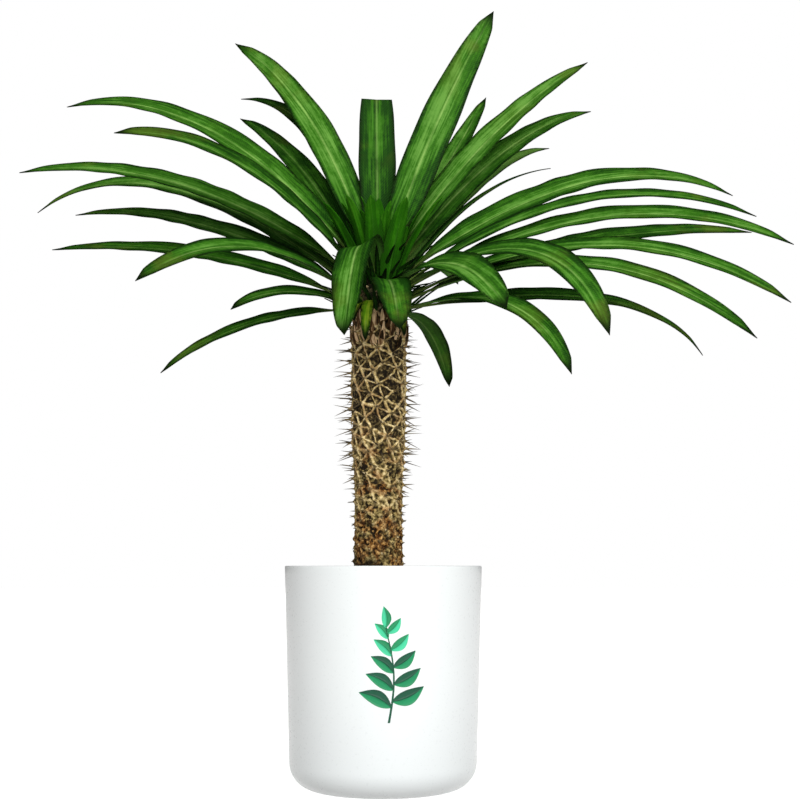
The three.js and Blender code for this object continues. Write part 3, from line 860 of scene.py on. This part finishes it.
def add_spine(parts, start, reach, bend, radius, tone):
    """Adds a spine that starts a little inside the bark, is thickest there and curves towards its point."""
    length = np.linalg.norm(reach)
    way = reach / length
    side = np.cross(way, bend)
    side /= np.linalg.norm(side)
    other = np.cross(way, side)
    turns = even_turns(SPINE_SIDES)
    circle = side * np.cos(turns)[:, None] + other * np.sin(turns)[:, None]
    flare = 1 + 0.8 * np.exp(-SPINE_RINGS / 0.07)
    radii = radius * (1 - SPINE_RINGS) ** 0.75 * flare
    centres = start + np.outer(SPINE_RINGS, reach) + np.outer(SPINE_RINGS**2, bend)
    centres[0] -= way * 1.2
    points = (centres[:, None] + circle[None] * radii[:, None, None]).reshape(-1, 3)
    points = np.concatenate([points, [centres[0]], [start + reach + bend]])
    share = np.concatenate([np.repeat(SPINE_RINGS, SPINE_SIDES), [0, 1]])
    parts.add(points, capped_tube(len(SPINE_RINGS), SPINE_SIDES), share=share, tone=tone)


SPINE_CORNERS = 1, 3, 5  # of the six round an areole, those that its spines point at
SPINE_RADIUS = 0.8
LONG_LEAN = math.radians(20)  # between an areole's two long spines and straight out
SHORT_LEAN = math.radians(66)  # its short one lies against the bark
SHORT_SHARE = 0.4  # a short spine's length as a share of a long one's
BROKEN_SPINES = 0.3  # the share of long spines that are broken off short
BROKEN_SHARE = 0.5  # how much of such a one is left


def build_spines():
    """Three spines leave each areole: two long dark ones that stand out, and a short pale one."""
    parts = Parts()
    for k, (turn, z) in enumerate(zip(*areole_places())):
        outward = np.array([math.cos(turn), math.sin(turn), 0])
        middle = skin_point(turn, z, TUBERCLE_RISE + AREOLE_RISE)
        short_corner = SPINE_CORNERS[k % 3]
        for corner in SPINE_CORNERS:
            here, after = NEIGHBOURS[corner], NEIGHBOURS[(corner + 1) % 6]
            swing = (turned_back(here * GOLDEN_ANGLE) + turned_back(after * GOLDEN_ANGLE)) / 3 * AREOLE_SHARE
            rise = (here + after) / 3 * TUBERCLE_PITCH * AREOLE_SHARE
            sideways = skin_point(turn + swing, z + rise, TUBERCLE_RISE) - middle
            sideways -= outward * sideways.dot(outward)
            sideways /= np.linalg.norm(sideways)
            sideways = rotate(sideways, outward, SPINE_TWIST * (scatter(5 * k + corner) - 0.5))
            is_long = corner != short_corner
            length = spine_length(z) * (0.75 + 0.3 * scatter(3 * k + corner))
            if not is_long:
                length *= SHORT_SHARE
            elif scatter(31 * k + corner) < BROKEN_SPINES:
                length *= BROKEN_SHARE
            lean = (LONG_LEAN if is_long else SHORT_LEAN) * lerp(0.3, 1.6, scatter(21 * k + corner))
            way = outward * math.cos(lean) + sideways * math.sin(lean)
            bend = outward * 0.07 - sideways * 0.05 - np.array([0, 0, 0.08])
            bend = bend * length * scatter(7 * k + corner)
            radius = SPINE_RADIUS * lerp(0.7, 1.15, scatter(9 * k + corner))
            # The long spines' dark brown is partly their own colour and partly painted shade.
            tone = lerp(0.0, 0.35, scatter(13 * k)) if is_long else lerp(0.5, 1, scatter(13 * k + corner))
            add_spine(parts, middle - 1.3 * outward, way * length, bend, radius, float(tone))
    parts.piece("stem_spines", spine_material(), "stem")


BRACTS = 110
BRACT_LOW, BRACT_HIGH = 430, 464


def build_bracts():
    """Dried scales, left from old leaf bases, that stand close against the stem's shoulder."""
    dry = bract_material()
    parts = Parts()
    for k in range(BRACTS):
        seat = lerp(BRACT_LOW, BRACT_HIGH, scatter(3 * k + 1))
        length = lerp(10, 20, scatter(5 * k + 2))
        lean = lerp(0.5, 3.5, scatter(7 * k))
        row = (
            math.degrees(k * GOLDEN_ANGLE) + 40 * scatter(k),
            seat,
            stem_radius(seat) + lean,
            seat + 0.4 * length,
            stem_radius(seat + length) + lean,
            seat + length,
            lerp(2.2, 4.2, scatter(9 * k)),
            lerp(-40, 40, scatter(10 * k)),
            lerp(0.1, 1, scatter(12 * k)),
        )
        add_leaf(parts, row, seed=200 + k, stations=12)
    parts.piece("dry_bracts", dry, "stem")


# ---- Soil ----

SOIL_COLUMNS = 150
SOIL_GRAINS = 620
PERLITE_GRAINS = 70


def soil_radius(z):
    return wall_radius(z) - POT_WALL - GAP


def build_soil():
    """The potting mix: a body with an uneven top, and loose grains that lie on it."""
    inner = POT_EDGE_ROUND - POT_WALL
    bottom = SOIL_FLOOR + inner
    level = SOIL_TOP - 1
    profile = [(0.2, SOIL_FLOOR), *arc(soil_radius(bottom) - inner, bottom, inner, -90, 0, 6)]
    profile += [(soil_radius(z), z) for z in (60, 120, level - 3)]
    profile += [(r, level) for r in np.linspace(soil_radius(level), 0.2, 60)]
    points, _, z = lathe(profile, SOIL_COLUMNS)
    bumps = 1.6 * field(points, 14) + 1.3 * field(points, 4.5, seed=30) + 0.7 * field(points, 1.8, seed=60)
    points[:, 2] += np.where(z > level - 0.5, bumps - 1.2, 0)
    points = np.concatenate([points, [[0, 0, SOIL_FLOOR]], [[0, 0, level]]])
    parts = Parts()
    parts.add(points, capped_tube(len(profile), SOIL_COLUMNS))
    mix = soil_material()
    parts.piece("potting_mix", mix, "soil", ("soil",))

    rng = np.random.default_rng(5)
    bark = plain_material("bark_chip", (0.10, 0.055, 0.03), 0.6, 250.0, 0.9)
    perlite = plain_material("perlite", (0.62, 0.60, 0.55), 0.15, 300.0, 0.9)
    for name, material, count, low, high in (
        ("soil_crumbs", mix, SOIL_GRAINS, 0.9, 3.0),
        ("bark_chips", bark, SOIL_GRAINS // 5, 2.0, 5.0),
        ("perlite_grains", perlite, PERLITE_GRAINS, 0.9, 2.2),
    ):
        grains = Parts()
        for _ in range(count):
            reach = math.sqrt(rng.uniform((STEM_FOOT_RADIUS + 6) ** 2, (soil_radius(SOIL_TOP) - 4) ** 2))
            way = rng.uniform(0, 2 * math.pi)
            size = rng.uniform(low, high)
            height = level - 0.8 + rng.uniform(-0.2, 0.5) * size
            add_grain(grains, rng, (reach * math.cos(way), reach * math.sin(way), height), size)
        grains.piece(name, material, "soil")


def ball():
    """Points and faces of a small round ball."""
    made = bmesh.new()
    bmesh.ops.create_icosphere(made, subdivisions=2, radius=1)
    points = np.array([v.co[:] for v in made.verts])
    faces = [[v.index for v in f.verts] for f in made.faces]
    made.free()
    return points, faces


BALL_POINTS, BALL_FACES = ball()


def add_grain(parts, rng, centre, size):
    """Adds a rough grain, longer one way than the others and turned at random."""
    shape = BALL_POINTS * rng.uniform(0.72, 1.15, (len(BALL_POINTS), 1)) * (1.0, rng.uniform(0.5, 0.9), 0.55)
    turn = rng.uniform(0, 2 * math.pi)
    c, s = math.cos(turn), math.sin(turn)
    shape = shape @ np.array([[c, s, 0], [-s, c, 0], [0, 0, 1]])
    tilt = rng.uniform(-0.5, 0.5)
    c, s = math.cos(tilt), math.sin(tilt)
    shape = shape @ np.array([[1, 0, 0], [0, c, s], [0, -s, c]])
    parts.add(shape * size + centre, BALL_FACES)


# ---- Pot ----

POT_COLUMNS = 192


def build_pot():
    """The hollow pot, from the middle of its underside out, up, over the rim and down inside."""
    inner = POT_EDGE_ROUND - POT_WALL
    edge, floor_arc = wall_radius(POT_EDGE_ROUND) - POT_EDGE_ROUND, POT_FLOOR + inner
    rim, inside = POT_RIM_ROUND, wall_radius(POT_HEIGHT) - POT_WALL
    profile = [
        (0.2, 0),
        *arc(edge, POT_EDGE_ROUND, POT_EDGE_ROUND, -90, 0, 16),
        *[(wall_radius(z), z) for z in np.linspace(POT_EDGE_ROUND + 10, POT_HEIGHT - 8, 12)],
        *arc(wall_radius(POT_HEIGHT) - rim, POT_HEIGHT - rim, rim, 0, 90, 5),
        *arc(inside + rim, POT_HEIGHT - rim, rim, 90, 180, 5),
        *[(wall_radius(z) - POT_WALL, z) for z in np.linspace(POT_HEIGHT - 8, floor_arc + 8, 8)],
        *arc(wall_radius(floor_arc) - POT_WALL - inner, floor_arc, inner, 0, -90, 10),
        (0.2, POT_FLOOR),
    ]
    points, _, _ = lathe(profile, POT_COLUMNS)
    last = (len(profile) - 1) * POT_COLUMNS
    faces = grid_faces(len(profile), POT_COLUMNS)
    faces += [list(range(POT_COLUMNS))[::-1], list(range(last, last + POT_COLUMNS))]
    parts = Parts()
    parts.add(points, faces)
    pot = parts.piece("pot_body", pot_material(), "pot", ("pot",))
    drill_holes(pot)
    pot.data.set_sharp_from_angle(angle=math.radians(40))


def drill_holes(pot):
    """Cuts the drain holes through the pot's floor."""
    drills = bmesh.new()
    radius, from_middle = DRAIN_HOLE_RADIUS * MM, DRAIN_CIRCLE_RADIUS * MM
    for i in range(DRAIN_HOLES):
        turn = i / DRAIN_HOLES * 2 * math.pi
        made = bmesh.ops.create_cone(
            drills, cap_ends=True, segments=32, radius1=radius, radius2=radius, depth=5 * POT_FLOOR * MM
        )
        place = (from_middle * math.cos(turn), from_middle * math.sin(turn), 0)
        bmesh.ops.translate(drills, verts=made["verts"], vec=place)
    mesh = bpy.data.meshes.new("drills")
    drills.to_mesh(mesh)
    drills.free()
    cutter = bpy.data.objects.new("drills", mesh)
    bpy.context.scene.collection.objects.link(cutter)
    cut = pot.modifiers.new("drain_holes", "BOOLEAN")
    cut.operation, cut.object, cut.solver = "DIFFERENCE", cutter, "EXACT"
    bpy.context.view_layer.objects.active = pot
    bpy.ops.object.modifier_apply(modifier=cut.name)
    bpy.data.objects.remove(cutter)


# ---- The printed sprig on the pot's front ----

MOTIF_X, MOTIF_Z = 7, 76  # where the sprig's foot is, along the wall and up it
PRINT_RISE, PRINT_SINK = 0.12, 0.3


def on_wall(flat, lift):
    """Points on the pot's front, from their places along the wall and up it."""
    r = wall_radius(flat[:, 1]) + lift
    turn = (flat[:, 0] + MOTIF_X) / r
    return np.stack([r * np.sin(turn), -r * np.cos(turn), flat[:, 1]], 1)


def add_print(parts, left, right):
    """Adds a patch of print between two lines of places, as a thin shell sunk into the wall."""
    rows, columns = len(left), 4
    flat = lerp(left[:, None], right[:, None], np.linspace(0, 1, columns)[None, :, None]).reshape(-1, 2)
    count = len(flat)
    faces = grid_faces(rows, columns, wrap=False)
    faces += [[i + count for i in f[::-1]] for f in grid_faces(rows, columns, wrap=False)]
    rim = [i * columns for i in range(rows)] + [(rows - 1) * columns + j for j in range(1, columns)]
    rim += [i * columns + columns - 1 for i in range(rows - 2, -1, -1)] + list(range(columns - 2, 0, -1))
    faces += [[b, a, a + count, b + count] for a, b in zip(rim, rim[1:] + rim[:1])]
    points = np.concatenate([on_wall(flat, PRINT_RISE), on_wall(flat, -PRINT_SINK)])
    parts.add(points, faces)


def sprig_stem(height):
    """The sprig's stem is a gentle S."""
    share = height / 100
    return np.array([5 * math.sin(math.pi * 1.3 * share) - 3 * share, MOTIF_Z + height])


def build_motif():
    """A plain upright sprig: paired leaves on a curved stem, each leaf in two greens."""
    dark = plain_material("print_dark", (0.0, 0.075, 0.035), 0.1, 60.0, 0.4)
    green = plain_material("print_green", (0.008, 0.26, 0.10), 0.1, 60.0, 0.4)
    mint = plain_material("print_mint", (0.06, 0.62, 0.33), 0.1, 60.0, 0.4)
    sheets = {"dark": Parts(), "green": Parts(), "mint": Parts()}

    heights = np.linspace(-4, 84, 40)
    line = np.array([sprig_stem(h) for h in heights])
    width = np.linspace(1.1, 0.5, 40)[:, None] * np.array([1, 0])
    add_print(sheets["dark"], line - width, line + width)

    def leaf(base, angle, length, breadth, greens):
        """A pointed oval leaf whose two halves have two greens."""
        t = np.linspace(0, 1, 18)[:, None]
        way = np.array([math.sin(angle), math.cos(angle)])
        side = np.array([math.cos(angle), -math.sin(angle)])
        middle = base + way * t * length + side * 0.08 * length * np.sin(math.pi * t)
        half = side * breadth / 2 * np.clip(np.sin(math.pi * t**0.85), 0.02, None) ** 0.9
        add_print(sheets[greens[0]], middle - half, middle)
        add_print(sheets[greens[1]], middle, middle + half)

    pairs = 5
    for i in range(pairs):
        share = i / (pairs - 1)
        height = lerp(10, 72, share)
        length, breadth = lerp(33, 19, share), lerp(14, 9, share)
        greens = ("green", "dark") if i < 3 else ("mint", "green")
        spread = math.radians(lerp(66, 42, share))
        leaf(sprig_stem(height), -spread, length, breadth, greens)
        leaf(sprig_stem(height + 5), spread, length, breadth, greens[::-1])
    leaf(sprig_stem(82), math.radians(-6), 20, 9, ("mint", "green"))
    for name, material in (("dark", dark), ("green", green), ("mint", mint)):
        sheets[name].piece("printed_sprig_" + name, material, "pot")


# ---- Camera, floor and light ----

CAMERA_PLACE = (16.5, -1400, 215.3)
CAMERA_TILT = 6.74  # degrees up from level
CAMERA_LENS = 63


def build_camera():
    data = bpy.data.cameras.new("camera")
    data.lens, data.sensor_width = CAMERA_LENS, 36
    camera = bpy.data.objects.new("camera", data)
    camera.location = Vector(CAMERA_PLACE) * MM
    camera.rotation_euler = (math.radians(90 + CAMERA_TILT), 0, 0)
    bpy.context.scene.collection.objects.link(camera)
    bpy.context.scene.camera = camera


def add_softbox(name, place, aim, size, watts, colour=(1, 1, 1)):
    data = bpy.data.lights.new(name, "AREA")
    data.shape, data.size, data.energy, data.color = "SQUARE", size, watts, colour
    light = bpy.data.objects.new(name, data)
    light.location = place
    light.rotation_euler = (Vector(aim) - Vector(place)).to_track_quat("-Z", "Y").to_euler()
    light.visible_camera = False
    bpy.context.scene.collection.objects.link(light)


STUDIO_RADIUS = 12  # metres
FLOOR_HEIGHT = -0.0005
FLOOR_GREY, WHITE, BLACK = (0.9, 0.9, 0.9, 1), (1, 1, 1, 1), (0, 0, 0, 1)
SKY_COLOUR, SKY_STRENGTH = (1.0, 0.985, 0.95, 1), 0.39


def build_studio():
    """A white floor that runs into a white background, with soft light from all round and in front."""
    s = Shader("floor", roughness=0.9, specular=0.0, Base_Color=FLOOR_GREY, Emission_Color=WHITE)
    away = s.node("VectorMath", {0: s.place()}, operation="LENGTH").outputs["Value"]
    # The floor glows white, and a little less near the pot as painted shade round its foot.
    s.put(s.surface.inputs["Emission Strength"], s.remap(away, 0.1, 0.45, 0.88, 1.0))
    bpy.ops.mesh.primitive_circle_add(
        vertices=128, radius=STUDIO_RADIUS, fill_type="NGON", location=(0, 0, FLOOR_HEIGHT)
    )
    floor = bpy.context.object
    floor.name = "floor"
    floor.data.materials.append(s.material)
    floor.visible_diffuse = False  # so that it doesn't light the pot from below

    # The background is seen, but it lights nothing: the world behind it does that.
    s = Shader("background", specular=0.0, Base_Color=BLACK, Emission_Color=WHITE, Emission_Strength=1.0)
    bpy.ops.mesh.primitive_uv_sphere_add(segments=64, ring_count=32, radius=STUDIO_RADIUS)
    background = bpy.context.object
    background.name = "background"
    background.data.materials.append(s.material)
    background.visible_diffuse = background.visible_glossy = background.visible_shadow = False

    world = bpy.data.worlds.new("studio")
    world.use_nodes = True
    sky = world.node_tree.nodes["Background"].inputs
    sky["Color"].default_value, sky["Strength"].default_value = SKY_COLOUR, SKY_STRENGTH
    world.cycles_visibility.glossy = False
    bpy.context.scene.world = world

    add_softbox("key", (0.5, -2.4, 1.4), aim=(0, 0, 0.4), size=2.2, watts=80, colour=(0.98, 1.0, 0.99))
    bpy.context.scene.view_settings.view_transform = "Standard"


build_camera()
build_studio()
build_pot()
build_motif()
build_soil()
build_bark()
build_spines()
build_bracts()
build_leaves()
build_heart()
